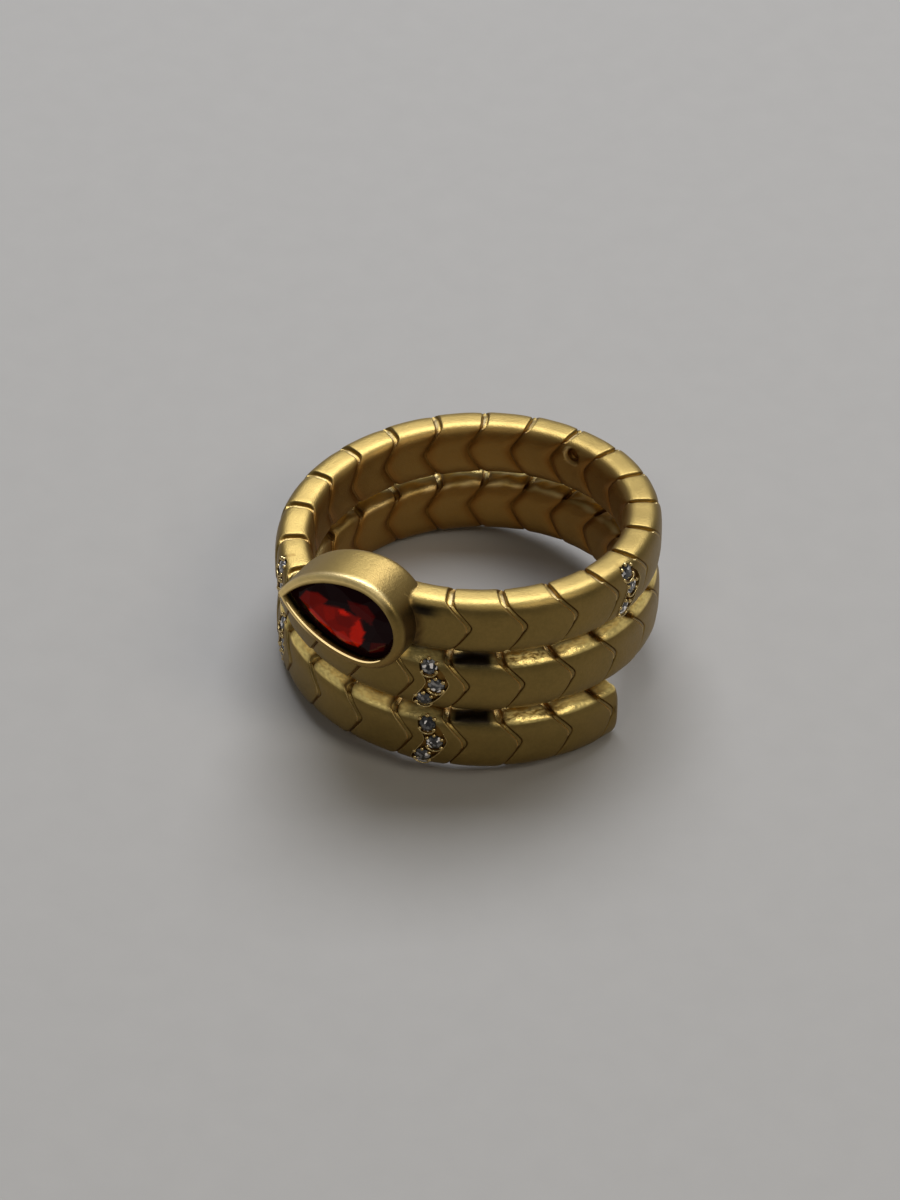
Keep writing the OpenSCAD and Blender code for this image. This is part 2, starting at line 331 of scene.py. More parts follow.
# How far the scales differ in height, and the depths of the rough, hammered and wavering finish
SCALE_LIFT = 0.008
ROUGH_D = 0.055
HAMMER_D = 0.024
WAVER_D = 0.006


def section():
    """Shares outwards and upwards of the points round the band's section, at even steps."""
    t = np.linspace(0, 2 * np.pi, 8001)
    c, s = np.cos(t), np.sin(t)
    e = 2 / VISUAL_SQUARENESS
    x, y = np.sign(c) * np.abs(c) ** e, np.sign(s) * np.abs(s) ** e
    run = np.concatenate([[0], np.cumsum(np.hypot(np.diff(x) * HALF_T, np.diff(y) * HALF_H))])
    want = np.linspace(0, run[-1], SECTION_POINTS + 1)[:-1]
    return np.interp(want, run, x), np.interp(want, run, y)


def section_normal(x, y):
    """Unit normal of the section, outwards and upwards."""
    power = VISUAL_SQUARENESS - 1
    nx, ny = np.sign(x) * np.abs(x) ** power / HALF_T, np.sign(y) * np.abs(y) ** power / HALF_H
    size = np.hypot(nx, ny)
    return nx / size, ny / size


def inner_share(x, y):
    """Share of the finger side, where the grooves are soft valleys."""
    return (1 - smooth(-0.6, 0.1, x)) * (1 - smooth(0.7, 0.92, np.abs(y)))


def groove_width(x, y):
    """Width of a groove: a notch across the sides, a double line above the point, then one line."""
    above = smooth(-0.22, 0.16, y) * smooth(-0.2, 0.5, x)
    notch = np.maximum(above * 0.8, smooth(0.78, 0.95, np.abs(y)))
    return LINE_W + (NOTCH_W - LINE_W) * np.maximum(notch, 0.3 * inner_share(x, y))


def groove_depth(f, e, width, x, y):
    """Depth below the scales of a groove ring, given by its share of the half width or distance beyond."""
    side = smooth(0.84, 0.96, np.abs(y))
    inner = inner_share(x, y)
    line = (LINE_D + (NOTCH_D - LINE_D) * side) * (1 - 0.45 * inner)
    raised = smooth(0.1, 0.2, width) * (1 - inner)
    floor = line + (FLOOR_D + (NOTCH_D * 0.85 - FLOOR_D) * side - line) * raised
    inside = floor + (line - floor) * abs(f) ** 4
    edge = inside * np.exp(-((abs(e) / (0.026 + 0.07 * inner)) ** 1.2))
    return edge + (0.014 + 0.035 * inner) * np.exp(-((abs(e) / 0.3) ** 2))


def head_offset(x, y):
    """Distance beyond the pear outline of the stone, in the head's own flat frame."""
    side_r = (PEAR_TAIL**2 + PEAR_R**2) / (2 * PEAR_R)
    tail = np.hypot(x, np.abs(y) + side_r - PEAR_R) - side_r
    return np.where(x > 0, np.hypot(x, y) - PEAR_R, tail)


def solder(angle, height, x):
    """How far the band swells where it runs into the head: a hollow fillet up the head's round end."""
    r = 0.4
    up = height - coil_z(HEAD_ANGLE) - HEAD_LIFT
    edge = np.sqrt(np.maximum((PEAR_R + BEZEL_WALL) ** 2 - up**2, 1.0))
    gap = np.sin(np.radians(angle - HEAD_ANGLE)) * (OUTER_R + 0.2) - edge + 0.12
    t = 1 - np.clip(gap / r, 0, 1)
    top = 0.15 + 0.85 * smooth(coil_z(angle) + 0.45 * HALF_H, coil_z(angle) + 0.8 * HALF_H, height)
    return r * (1 - np.sqrt(1 - t * t)) * smooth(-0.4, 0.4, x) * top * (angle < HEAD_ANGLE + 60)


def band_rings(x, y):
    """The band's rings round a section: their angles, how far they stand proud and how far they shrink."""
    lift = np.random.default_rng(11).normal(0, SCALE_LIFT, GROOVES + 2)
    first = groove_angle(1) - math.degrees(PLAIN_REACH[0] / MIDDLE_R)
    rings = []
    for t in np.linspace(0, 1, START_RINGS + 1)[:-1]:
        angle = BAND_START + (first - BAND_START) * t + POINT_LEAN * t * reach(y)
        rings.append((angle, np.zeros_like(y), 0.0))
    for k in range(1, GROOVES + 1):
        for f, e in GROOVE_RINGS:
            if k == GROOVES and e > TAIL_TIP - TAIL_ROUND - LINE_W:
                continue
            width = groove_width(x, y)
            angle = groove_angle(k) + np.degrees((f * width / 2 + e) / MIDDLE_R) + POINT_LEAN * reach(y)
            side = (f + e > 0) - (f + e < 0)
            proud = lift[k if side > 0 else k - 1] - side * LAP * math.exp(-((e / LAP_REACH) ** 2))
            rings.append((angle, proud - groove_depth(f, e, width, x, y), 0.0))
    for q in np.radians(np.linspace(0, 90, END_RINGS)):
        angle = TAIL_END - math.degrees(TAIL_ROUND * (1 - math.sin(q)) / MIDDLE_R)
        rings.append((np.full_like(y, angle), np.zeros_like(y), TAIL_ROUND * (1 - math.cos(q))))
    angle, push, trim = zip(*rings)
    return np.array(angle), np.array(push), np.array(trim)[:, None]


def band_points():
    """The band's rings of points, with grooves, lapping scales and rough sides between its rows."""
    x, y = section()
    nx, ny = section_normal(x, y)
    angle, push, trim = band_rings(x, y)
    turn = np.radians(angle)

    def place(push):
        r = MIDDLE_R + (HALF_T - trim) * x + push * nx
        up = (HALF_H - trim) * y + push * ny
        return np.stack([r * np.sin(turn), -r * np.cos(turn), coil_z(angle) + up], -1)

    flat = place(push).reshape(-1, 3)
    push = push + solder(angle, coil_z(angle) + HALF_H * y, x)
    lumps = ripple(flat, 5, 26, 0.8, 1.6) + 0.4 * ripple(flat, 6, 26, 0.4, 0.7)
    dents = ripple(flat, 7, 26, 0.45, 1.1)
    push += ROUGH_D * rough_share(angle, y) * lumps.reshape(angle.shape)
    push += pillow(angle, x, y)
    push += HAMMER_D * hammered_share(angle, x, y) * dents.reshape(angle.shape)
    push += WAVER_D * ripple(flat, 9, 18, 2.0, 5.0).reshape(angle.shape) * (trim == 0)
    return place(push)


def scale_share(angle, y):
    """How far along its scale a point lies, from 0 to 1."""
    return (angle - POINT_LEAN * reach(y) - FIRST_GROOVE) % SCALE_ARC / SCALE_ARC


def pillow(angle, x, y):
    """How far the shoulders under another row swell between the grooves, most of all inside."""
    t = scale_share(angle, y)
    height = 0.11 - 0.06 * smooth(-0.3, 0.4, x)
    return 4 * t * (1 - t) * height * smooth(0.7, 0.95, y) * under_row(angle)


def rough_share(angle, y):
    """Share of the rough cast finish: the sides that lie between two rows, past the reach of a polisher."""
    return np.where(y > 0, under_row(angle), over_row(angle)) * smooth(0.93, 0.985, np.abs(y))


def hammered_share(angle, x, y):
    """Share of the hammered finish: the strip just under the row above, smooth where the painted shade lies.
    """
    strip = smooth(0.78, 0.9, y) * under_row(angle) * smooth(-0.3, 0.15, x)
    return strip * (1 - painted_shade_share(angle, y))


def painted_shade_share(angle, y):
    """Share of the painted shade: dark reflections painted on the shoulders of rows 2 and 3 at the front, and
    beside the head.
    """
    around = from_front(angle)
    patch = smooth(-7.5, -3.5, around) * (1 - smooth(6, 10.5, around))
    near_stones = 0.7 * smooth(-21, -17, around) * (1 - smooth(-7.5, -3.5, around))
    rows = np.maximum(patch, near_stones) * (angle > 180) * smooth(0.76, 0.9, y)
    beside_head = (1 - smooth(-12, -7, angle)) * smooth(0.36, 0.56, y) * (1 - smooth(0.74, 0.85, y))
    return np.maximum(rows, beside_head * (angle > -30))


def head_mesh():
    """The head's block with rounded edges, before its seat is cut."""
    wall, edge, back_edge = BEZEL_WALL, RIM_ROUND, BACK_ROUND
    rows = [(wall - edge, 0.0)]
    for q in np.radians(np.linspace(10, 90, 9)):
        rows.append((wall - edge * (1 - math.sin(q)), -edge * (1 - math.cos(q))))
    rows += [(wall, level) for level in np.linspace(-edge, -HEAD_DEPTH + back_edge, 14)[1:-1]]
    for q in np.radians(np.linspace(0, 90, 8)):
        drop = -HEAD_DEPTH + back_edge * (1 - math.sin(q))
        rows.append((wall - back_edge * (1 - math.cos(q)), drop))
    return pear_solid(rows, "head")


def room_mesh():
    """Room for the row that passes under the head, grown by the clearance and carried into the hole."""
    x, y = section()
    half_arc = math.degrees(math.asin((PEAR_TAIL + BEZEL_WALL) / RIM_R)) + 8
    angles = np.linspace(HEAD_ANGLE + 360 - half_arc, HEAD_ANGLE + 360 + half_arc, 25)[:, None]
    r = MIDDLE_R + (HALF_T + HEAD_GAP) * np.where(x < 0, 2 * x, x)[None, :]
    turn = np.radians(angles)
    up = coil_z(angles) + (HALF_H + HEAD_GAP) * y[None, :]
    return loft(np.stack([r * np.sin(turn), -r * np.cos(turn), up], -1), "room")


def seat_mesh():
    """The seat of the pear stone: sloped inner rim, lip, girdle groove and a pit under the pavilion."""
    low = GIRDLE_DEPTH + 0.13
    rows = [
        (LIP_BEVEL - LIP_COVER + 0.3, 0.3),
        (LIP_BEVEL - LIP_COVER, 0.0),
        (-LIP_COVER, -0.07),
        (-LIP_COVER, -0.4),
        (0.03, -GIRDLE_DEPTH + 0.03),
        (0.03, -low),
        (-0.85 * PEAR_R, -low - 1.3),
    ]
    return pear_solid(rows, "seat", OPENING_TAIL)


# The sunk fields round the small stones: their depth, half width, and middle and half length up the row
FIELD_D = 0.16
FIELD_HALF_W = 0.56
FIELD_MIDDLE = 0.03
FIELD_REACH = 0.94
# The metal round the small stones: how far from a stone's middle its beads and its ridge stand
SEAT_R = 0.49
RIDGE_R = 0.55
# The angles round a stone of its beads, and of its ridge's two ends
BEAD_ANGLES = (35, 90, 145, 215, 325)
RIDGE_ENDS = (-152, -28)
# How far the beads and ridges are sunk, and the half widths of ridges, field edges and bezel lip
BEAD_SINK = 0.085
RIDGE_SINK = 0.05
RIDGE_T = 0.055
EDGE_R = 0.022
LIP_T = 0.055
# How much of a field's half length its edges have, and where they start and end on the sine
EDGE_REACH = 0.9
EDGE_ENDS = (31, -86)


def field_centre(share):
    """Place along a scale of the line through its three stones, as a share of the scale's length."""
    along, level = zip(*SCALE_SEATS[::-1])
    return np.interp(share, level, along)


def field_half_width(share):
    """Half the width of the sunk field at a height share: a leaf, pointed at both ends."""
    t = np.minimum(1, np.abs((share - FIELD_MIDDLE) / FIELD_REACH))
    return FIELD_HALF_W * (1 - t**6) + 0.012


def field_angle(scale, share):
    """Angle along the coil of a field's middle line at a height share."""
    return groove_angle(scale) + field_centre(share) * SCALE_ARC + POINT_LEAN * reach(share)


def field_mesh(scale):
    """The cutter of the sunk field round three small stones, which follows the scale's curve."""
    share = FIELD_MIDDLE + FIELD_REACH * np.sin(np.radians(np.linspace(90, -90, 33)))
    across = np.array([-1, -0.93, -0.5, 0, 0.5, 0.93, 1])
    half = field_half_width(share)
    angle = field_angle(scale, share)
    x = outer_face(share)
    nx, ny = section_normal(x, share)
    rows = []
    for i in range(len(share)):
        turn = np.radians(angle[i]) + half[i] * across / MIDDLE_R
        z = coil_z(angle[i]) + HALF_H * share[i]
        points = []
        for level, order in ((0.2, slice(None)), (-FIELD_D, slice(None, None, -1))):
            sunk = np.where(np.abs(across) < 1, level, max(level, 0.02))[order]
            r = MIDDLE_R + HALF_T * x[i] + sunk * nx[i]
            side = turn[order]
            points.append(np.stack([r * np.sin(side), -r * np.cos(side), z + sunk * ny[i]], -1))
        rows.append(np.concatenate(points))
    return loft(rows, "field")


def read_vectors(mesh, name):
    """The places or normals of a mesh's vertices, one row each."""
    values = np.empty(len(mesh.vertices) * 3)
    mesh.vertices.foreach_get(name, values)
    return values.reshape(-1, 3)


class Places:
    """Where the vertices of the band lie: along the coil, round its section and in the head's flat frame."""

    def __init__(self, mesh):
        points = read_vectors(mesh, "co")
        theta = np.degrees(np.arctan2(points[:, 0], -points[:, 1]))
        turns = np.round((-points[:, 2] * 360 / PITCH - theta) / 360)
        self.points, self.normal = points, read_vectors(mesh, "normal")
        self.angle = theta + 360 * turns
        self.share = np.clip((points[:, 2] - coil_z(self.angle)) / HALF_H, -1, 1)
        self.r = np.hypot(points[:, 0], points[:, 1])
        self.out = np.clip((self.r - MIDDLE_R) / HALF_T, -1, 1)
        self.on_band = smooth(-20, -14, self.angle) * (1 - smooth(OUTER_R + 0.05, OUTER_R + 0.15, self.r))
        self.under = under_row(self.angle) * smooth(0.78, 0.93, self.share) * self.on_band
        # The scale, the distance from its nearer groove, and how near it is to the scale's middle
        self.along = self.angle - POINT_LEAN * reach(self.share) - FIRST_GROOVE
        self.scale = np.floor(self.along / SCALE_ARC).astype(int) + 1
        place = (self.along + SCALE_ARC / 2) % SCALE_ARC - SCALE_ARC / 2
        self.from_groove = np.radians(place) * MIDDLE_R
        t = scale_share(self.angle, self.share)
        self.middle = smooth(0.1, 0.6, 4 * t * (1 - t))
        self.flat = moved(points, at_head().inverted())
        self.offset = head_offset(self.flat[:, 0], self.flat[:, 1])


def groove_marks(at):
    """The grooves' dark edges, a painted highlight on the lip before each, and the soft valleys inside the
    ring, with painted shade.
    """
    width, inner = groove_width(at.out, at.share), inner_share(at.out, at.share)
    from_middle = np.abs(at.from_groove)
    beyond = np.maximum(from_middle - width / 2, 0)
    grooved = at.on_band * (at.angle < groove_angle(GROOVES) + POINT_LEAN + 2)
    # A thin groove is dark all through, and a wide one has a plain strip between its two dark edges
    wide = smooth(0.1, 0.18, width) * (1 - inner)
    edges = np.exp(-((np.abs(from_middle - width / 2) / 0.03) ** 1.5))
    dark = wide * edges + (1 - wide) * np.exp(-((beyond / 0.03) ** 1.5))
    dark = np.maximum(dark, at.under * np.exp(-((beyond / 0.06) ** 2)))
    # Painted highlight along the lip before each wide groove
    glint = np.exp(-(((at.from_groove + width / 2) / 0.028) ** 2)) * wide * grooved
    glint *= (1 - 0.5 * smooth(0.9, 0.97, np.abs(at.share))) * (1 - at.under)
    valley = np.exp(-((beyond / 0.4) ** 2)) * inner * grooved
    return dark, dark * grooved * (1 - 0.9 * glint), glint, valley


def head_marks(at):
    """The head's joint to the band, its upper rim with a painted highlight, its lower rim and its side with
    painted shade, and its seat, painted near black as shade.
    """
    x, y, z = at.flat.T
    in_head = (z < -0.4) * (z > -HEAD_DEPTH)
    at_joint = in_head * (x > 0) * (at.angle < 20) * (1 - smooth(1.0, 2.0, y))
    joint = np.exp(-(((at.offset - BEZEL_WALL - 0.1) / 0.2) ** 2)) * at_joint
    on_rim = smooth(0.0, 0.12, at.offset) * smooth(-0.42, -0.26, z) * (at.r > OUTER_R)
    # The upper rim gets a painted highlight and the lower rim painted shade
    upper = on_rim * smooth(0.0, 1.5, y - 0.8 * x)
    lower = on_rim * (1 - smooth(-1.5, 0.3, y))
    # Painted shade on the head's side wall, which dims the light's reflection there
    along_wall = np.abs(at.normal @ np.array(at_head().to_3x3())[:, 2]) < 0.6
    at_wall = (np.abs(at.offset - BEZEL_WALL) < 0.06) * (z > -HEAD_DEPTH + 0.2) * along_wall
    side = at_wall * (1 - smooth(-0.5, -0.34, z)) * smooth(-1.0, 1.0, x)
    return joint, upper, lower, side, (at.offset < 0.1) * in_head


def pit_marks(at):
    """A painted highlight on one side of the pit's edge, and the pit's inside."""
    across = np.radians(at.angle - PIT_ANGLE) * FINGER_R
    up = at.points[:, 2] - coil_z(PIT_ANGLE) - PIT_RISE
    away = np.hypot(across, up)
    lip = smooth(0.4, 0.48, away) * (1 - smooth(0.56, 0.66, away)) * (across > up) * (at.out < 0)
    inside = (away < 0.45) * smooth(FINGER_R + 0.1, FINGER_R + 0.2, at.r) * (at.out < 0)
    return lip, inside


def field_mark(at):
    """The sunk fields round the small stones."""
    off = np.radians(at.along % SCALE_ARC - field_centre(at.share) * SCALE_ARC) * MIDDLE_R
    sunk = outer_face(at.share) * HALF_T + MIDDLE_R - at.r
    inside = (np.abs(off) < field_half_width(at.share) + 0.02) * smooth(0.04, 0.1, sunk) * (at.out > 0)
    return inside * np.isin(at.scale, SET_SCALES)


def strongest(*marks):
    """The strongest of several marks at each point."""
    return np.maximum.reduce(marks)


def label(mesh):
    """Writes on each vertex what its place does to the finish and where light and shade are painted: grooves,
    rough sides, seats, painted shade, painted highlights and painted glow.
    """
    at = Places(mesh)
    dark, groove, glint, valley = groove_marks(at)
    joint, upper_rim, lower_rim, head_side, seat = head_marks(at)
    pit_lip, in_pit = pit_marks(at)
    facing_up = at.normal @ np.array(lay_down().to_3x3())[2] / MM
    # Where a groove runs out between two rows the gold gets a reddish painted shade
    root = np.exp(-((at.from_groove / 0.32) ** 2)) * smooth(0.82, 0.93, at.share)
    root *= under_row(at.angle) * at.on_band
    # Under another row the inner shoulder gets a painted highlight in spots, brightest at each scale's middle
    spots = smooth(-0.6, 0.6, ripple(at.points, 23, 20, 0.8, 2.0))
    crest = at.under * at.middle * spots * (1 - smooth(-0.6, -0.1, at.out))
    hammer = hammered_share(at.angle, at.out, at.share) * at.on_band * (1 - root)
    level = np.random.default_rng(19).uniform(0.6, 1.0, GROOVES + 2)[np.clip(at.scale, 0, GROOVES + 1)]
    # Painted glow: emission on the hammered strips, the pit's edge and the head's upper rim stands in for the
    # light they catch
    light = hammer * at.middle * level * smooth(0.0, 0.4, at.out)
    light = strongest(light, 0.12 * pit_lip * spots, 0.3 * upper_rim * (at.flat[:, 2] > -0.2))
    around = from_front(at.angle)
    # Painted shade: dark reflections painted on the shoulders at the front and beside the head
    stain = painted_shade_share(at.angle, at.share) * smooth(-0.3, 0.1, at.out) * at.on_band * (1 - dark)
    # Painted shade: darker, browner gold inside the ring, on the inner shoulders under a row and on the
    # head's lower rim
    inside = 1 - smooth(FINGER_R + 0.15, FINGER_R + 0.6, at.r)
    shoulder = at.under * (1 - smooth(-0.1, 0.3, at.out))
    values = {
        "groove": strongest(groove, joint, 0.7 * in_pit),
        "glint": glint,
        # Painted shade in the valleys, the grooves' roots and the pit
        "valley": strongest(valley, root, in_pit),
        "field": field_mark(at),
        "cast": rough_share(at.angle, at.share) * at.on_band,
        "hammer": hammer,
        # Where the painted glow lies, and how deep its flecks go
        "lit": light,
        "fleck": smooth(7, 11, around) * (1 - smooth(27, 33, around)),
        # Painted highlights: the head's upper rim, one side of the pit's edge and the inner shoulders' crests
        "polish": strongest(upper_rim, pit_lip * spots, 0.45 * crest),
        "head_side": head_side,
        # Painted shade, together with the real dark joint behind the head
        "stain": strongest(stain, 0.7 * joint),
        # Painted shade inside the ring, on the inner shoulders and on the head's lower rim
        "inside": strongest(inside, shoulder, 0.5 * lower_rim),
        # Painted light: faces turned up keep the full gold and the sides get a shaded copy, by how the light
        # falls
        "rubbed": smooth(0.52, 0.97, facing_up) * (1 - 0.5 * head_side),
        # Painted shade: the seat is painted near black
        "seat": seat,
    }
    for name, value in values.items():
        attribute = mesh.attributes.new(name, "FLOAT", "POINT")
        attribute.data.foreach_set("value", np.asarray(value, np.float32))
    # Places as the band unrolls, halved along it, so that the painted glow's flecks draw out the way the
    # hammer went
    across = at.points[:, 2] - coil_z(at.angle)
    unrolled = np.column_stack([0.5 * np.radians(at.angle) * MIDDLE_R, at.r, across])
    attribute = mesh.attributes.new("unrolled", "FLOAT_VECTOR", "POINT")
    attribute.data.foreach_set("vector", (unrolled * MM).astype(np.float32).ravel())


# Painted reflections: the light that shows of the red stone's inner facets through its top, in the head's
# flat frame: how bright each facet is, and its corners in millimetres
FIRE = (
    (0.12, ((-0.6, 1.3), (0.6, 1.4), (1.1, 0.9), (0.9, 0.3), (-0.3, 0.7))),
    (0.3, ((-3.7, 0.05), (-3.3, 0.7), (-2.5, 0.95), (-1.8, 0.85), (-2.1, 0.4), (-3.0, -0.35))),
    (0.36, (
        (-3.0, -0.35), (-2.2, 0.42), (-1.1, 0.65), (0.2, 0.5),
        (0.5, -0.3), (0.0, -1.7), (-0.7, -1.7), (-1.7, -1.4),
    )),
    (0.45, ((-2.1, 0.3), (-1.4, 0.5), (-1.3, -0.2), (-1.9, -0.6))),
    (0.66, ((-3.1, -0.35), (-2.8, -0.15), (-1.5, -1.15), (-1.65, -1.4), (-2.4, -0.95))),
    (0.6, ((-1.5, -1.2), (-0.4, -0.6), (-0.4, -1.2), (0.0, -1.65), (-0.7, -1.7))),
    (0.8, ((-0.35, -0.35), (0.2, 0.45), (0.5, -0.3), (0.35, -1.2), (0.0, -1.65), (-0.4, -1.2))),
    (0.3, ((-1.35, -0.1), (-1.0, 0.2), (-0.35, 0.25), (-0.1, -0.1), (-0.45, -0.5), (-1.1, -0.5))),
    (1.0, ((-1.15, 0.52), (-0.75, 0.62), (-0.4, 0.3), (-1.0, 0.25))),
    (0.1, ((0.9, -0.9), (1.7, -0.7), (1.5, -1.4), (0.7, -1.8))),
)


def fire(x, y):
    """Painted brightness of the red stone's inside, standing for the light of its inner facets, at points of
    the head's flat frame.
    """
    glow = np.full(len(x), 0.012)
    for bright, corners in FIRE:
        corners = np.array(corners)
        ahead = np.roll(corners, -1, 0) - corners
        middle = corners.mean(0)
        outside = np.full(len(x), -9.0)
        for (cx, cy), (ax, ay) in zip(corners, ahead):
            nx, ny = np.array([ay, -ax]) / math.hypot(ax, ay)
            sign = -1 if (middle[0] - cx) * nx + (middle[1] - cy) * ny > 0 else 1
            outside = np.maximum(outside, sign * ((x - cx) * nx + (y - cy) * ny))
        glow += (bright - glow) * (1 - smooth(-0.05, 0.05, outside))
    return glow


def ring_faces(rings, n):
    """Faces between rings of n points each, one ring after another."""
    return [
        (i * n + j, i * n + (j + 1) % n, (i + 1) * n + (j + 1) % n, (i + 1) * n + j)
        for i in range(rings - 1)
        for j in range(n)
    ]


def dome(r):
    """Points and faces of a bead: most of a ball, open below."""
    rings, n = 5, 12
    tilt = np.radians(np.linspace(100, 10, rings))[:, None]
    a = 2 * np.pi * np.arange(n) / n
    rows = [r * np.sin(tilt) * np.cos(a), r * np.sin(tilt) * np.sin(a), r * np.cos(tilt) + 0 * a]
    points = np.concatenate([np.stack(rows, -1).reshape(-1, 3), [(0, 0, r)]])
    top = [((rings - 1) * n + j, (rings - 1) * n + (j + 1) % n, rings * n) for j in range(n)]
    return points, ring_faces(rings, n) + top


def thread(path, r):
    """Points and faces of a thin round ridge along a path, with pointed ends."""
    n, last = 6, len(path) - 1
    ahead = np.gradient(path, axis=0)
    ahead /= np.linalg.norm(ahead, axis=1)[:, None]
    outward = path * (1, 1, 0)
    side = np.cross(ahead, outward)
    side /= np.linalg.norm(side, axis=1)[:, None]
    up = np.cross(side, ahead)
    size = r * (0.15 + 0.85 * np.sin(np.linspace(0, np.pi, last + 1)) ** 0.4)[:, None]
    a = 2 * np.pi * np.arange(n) / n
    rows = [path + size * (math.cos(t) * side + math.sin(t) * up) for t in a]
    points = np.stack(rows, 1).reshape(-1, 3)
    ends = [tuple(range(n - 1, -1, -1)), tuple(last * n + j for j in range(n))]
    return points, ring_faces(last + 1, n) + ends


def field_edge(scale, side):
    """The edge of a sunk field on one side, from below the first stone to its lower point."""
    share = FIELD_MIDDLE + EDGE_REACH * np.sin(np.radians(np.linspace(*EDGE_ENDS, 22)))
    turn = np.radians(field_angle(scale, share)) + side * field_half_width(share) / MIDDLE_R
    r = MIDDLE_R + HALF_T * outer_face(share)
    z = coil_z(np.degrees(turn)) + HALF_H * share
    return np.stack([r * np.sin(turn), -r * np.cos(turn), z], -1)


def stone_metal(place, bead_r, rng):
    """The beads round one small stone and the ridge under it."""
    bits = []
    for turn in BEAD_ANGLES:
        a = math.radians(turn + rng.uniform(-6, 6))
        spot = place @ Matrix.Translation((SEAT_R * math.cos(a), SEAT_R * math.sin(a), -BEAD_SINK))
        points, faces = dome(bead_r * rng.uniform(0.85, 1.12))
        bits.append((moved(points, spot), faces))
    a = np.radians(np.linspace(*RIDGE_ENDS, 15))
    arc = np.stack([RIDGE_R * np.cos(a), RIDGE_R * np.sin(a), np.full(len(a), -RIDGE_SINK)], -1)
    bits.append(thread(moved(arc, place), RIDGE_T))
    return bits


def bezel_lip():
    """The thin line along the bezel's lower lip, from just past the tip to the round end, lit by a painted
    glow.
    """
    rim = pear_outline(OPENING_TAIL, LIP_BEVEL / 2 - LIP_COVER)
    past_tip = 3 * PEAR_POINTS // 2 + 2
    lower = np.concatenate([rim[past_tip:], rim[: PEAR_POINTS // 4]])
    return thread(moved(np.c_[lower, np.full(len(lower), -0.01)], at_head()), LIP_T)


def bead_mesh(bead_r):
    """The burnished metal: beads, ridges and the fields' edges, and, last, the bezel's lower lip, which gets
    a painted glow.
    """
    rng = np.random.default_rng(3)
    bits = []
    for scale in SET_SCALES:
        for side in (-1, 1):
            bits.append(thread(field_edge(scale, side), EDGE_R))
        for along, share in SCALE_SEATS:
            bits += stone_metal(at_small(scale, along, share), bead_r, rng)
    bits.append(bezel_lip())
    points, polygons = [], []
    for bit, faces in bits:
        start = sum(len(p) for p in points)
        polygons += [[v + start for v in face] for face in faces]
        points.append(bit)
    mesh = bpy.data.meshes.new("setting_beads")
    mesh.from_pydata(np.concatenate(points).tolist(), [], polygons)
    # Marks the lip's vertices for a painted glow
    lip = np.zeros(len(mesh.vertices), np.float32)
    lip[-len(points[-1]):] = 1
    mesh.attributes.new("lip", "FLOAT", "POINT").data.foreach_set("value", lip)
    return mesh


# Shaders

# Painted shade: the near black painted into the seat under the red stone, which shuts out light from behind
# it
SEAT_SHADE = (0.004, 0.003, 0.003)


class Wire:
    """A shader socket that takes part in sums as a number does."""

    def __init__(self, net, socket):
        self.net, self.socket = net, socket

    def _math(self, operation, a, b):
        return self.net.node("ShaderNodeMath", {"operation": operation}, {0: a, 1: b})

    def __add__(self, other):
        return self._math("ADD", self, other)

    def __sub__(self, other):
        return self._math("SUBTRACT", self, other)

    def __rsub__(self, other):
        return self._math("SUBTRACT", other, self)

    def __mul__(self, other):
        return self._math("MULTIPLY", self, other)

    __radd__, __rmul__ = __add__, __mul__


class Net:
    """The nodes of one material."""

    def __init__(self, name):
        self.material = bpy.data.materials.new(name)
        self.material.use_nodes = True
        self.tree = self.material.node_tree
        self.tree.nodes.clear()

    def node(self, kind, settings=None, inputs=None, out=0):
        """Adds a node, makes its settings first, then fills its sockets with values or links."""
        made = self.tree.nodes.new(kind)
        for key, value in (settings or {}).items():
            if key == "stops":
                ramp = made.color_ramp
                while len(ramp.elements) < len(value):
                    ramp.elements.new(0.5)
                for element, (at, colour) in zip(ramp.elements, value):
                    element.position, element.color = at, (*colour, 1)
            else:
                setattr(made, key, value)
        for key, value in (inputs or {}).items():
            socket = made.inputs[key]
            if isinstance(value, Wire):
                self.tree.links.new(value.socket, socket)
            else:
                socket.default_value = value
        return Wire(self, made.outputs[out]) if len(made.outputs) else None

    def mix(self, factor, a, b):
        """A colour between a and b."""
        a, b = (v if isinstance(v, Wire) else (*v, 1) for v in (a, b))
        return self.node("ShaderNodeMix", {"data_type": "RGBA"}, {0: factor, 6: a, 7: b}, out=2)

    def place(self):
        """The place on the object."""
        return self.node("ShaderNodeTexCoord", out="Object")

    def noise(self, size, detail=2.0, rough=0.5, place=None):
        """Noise with spots of that size in millimetres."""
        inputs = {"Vector": place or self.place(), "Scale": 1 / (size * MM)}
        inputs |= {"Detail": detail, "Roughness": rough}
        return self.node("ShaderNodeTexNoise", {"noise_dimensions": "3D"}, inputs)

    def cells(self, size, out):
        """Cells of that size in millimetres: the distance from a cell's middle, or its own colour."""
        inputs = {"Vector": self.place(), "Scale": 1 / (size * MM)}
        return self.node("ShaderNodeTexVoronoi", {"feature": "F1"}, inputs, out=out)

    def ramp(self, value, low, high):
        """0 below low, 1 above high."""
        inputs = {"Value": value, "From Min": low, "From Max": high}
        return self.node("ShaderNodeMapRange", {"clamp": True}, inputs)

    def attribute(self, name, out="Fac"):
        """What label wrote on the vertices under that name."""
        return self.node("ShaderNodeAttribute", {"attribute_name": name}, out=out)

    def finish(self, shader):
        """Joins the shader to the output and returns the material."""
        self.node("ShaderNodeOutputMaterial", None, {"Surface": shader})
        return self.material


